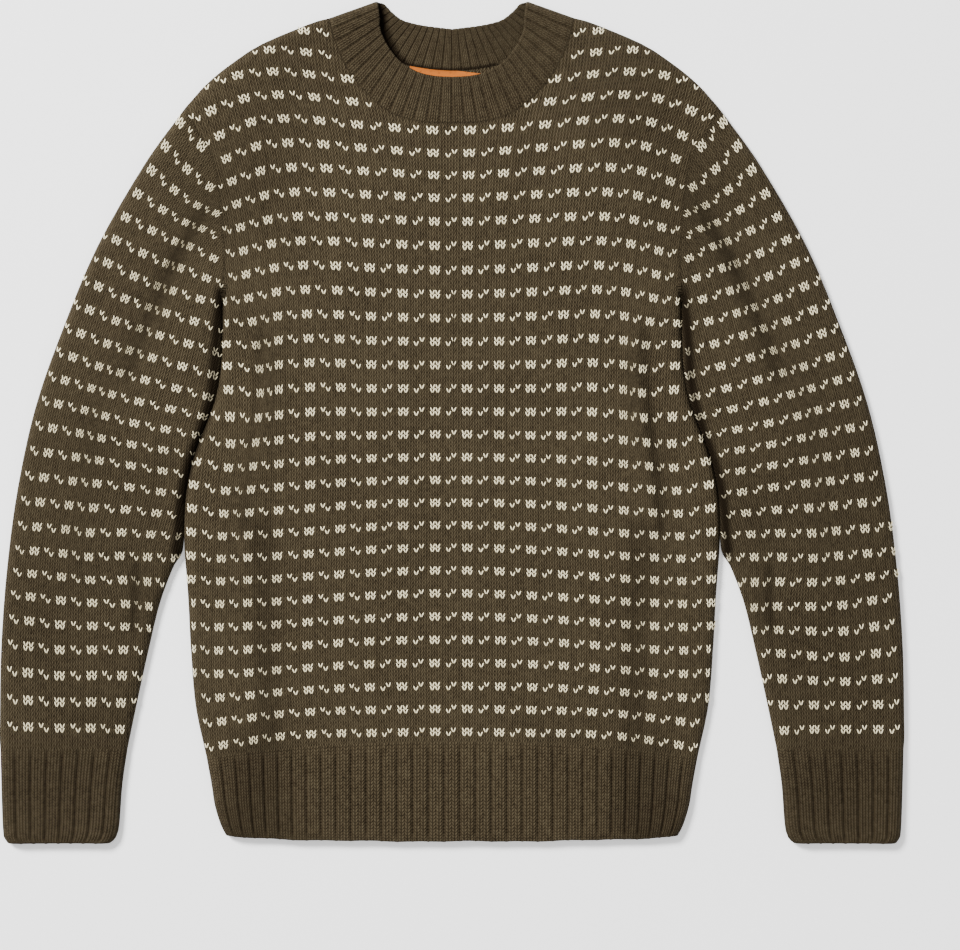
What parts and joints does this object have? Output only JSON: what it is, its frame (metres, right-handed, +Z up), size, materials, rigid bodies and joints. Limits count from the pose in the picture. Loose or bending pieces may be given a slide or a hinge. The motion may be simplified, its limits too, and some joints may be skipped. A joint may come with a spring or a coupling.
{
  "type": "two-colour knitted crew-neck jumper, laid flat",
  "caption": "Long-sleeved crew-neck jumper in stranded knit with ribbed neckband, cuffs and hem, laid flat with its front up on a level surface.",
  "frame": {"origin": "Bottom centre of the garment's box: the middle of the jumper, on the surface that it lies on.", "axes": "+Z up from the surface, +Y towards the neck, +X towards the wearer's left sleeve. The front faces up."},
  "size_m": [0.7488, 0.6988, 0.0139],
  "materials": {
    "two_colour_knit": "matt olive-brown wool knit with small cream stitches in a repeat of six by six",
    "ribbing": "matt olive-brown wool, ribbed, with no pattern",
    "label": "plain orange woven label with nothing on it"
  },
  "bodies": {
    "root": {"front_panel": "two_colour_knit", "back_panel": "two_colour_knit", "sleeve_left": "two_colour_knit", "sleeve_right": "two_colour_knit", "cuff_left": "ribbing", "cuff_right": "ribbing", "hem_rib": "ribbing", "neckband": "ribbing", "neck_label": "label"}
  },
  "joints": []
}
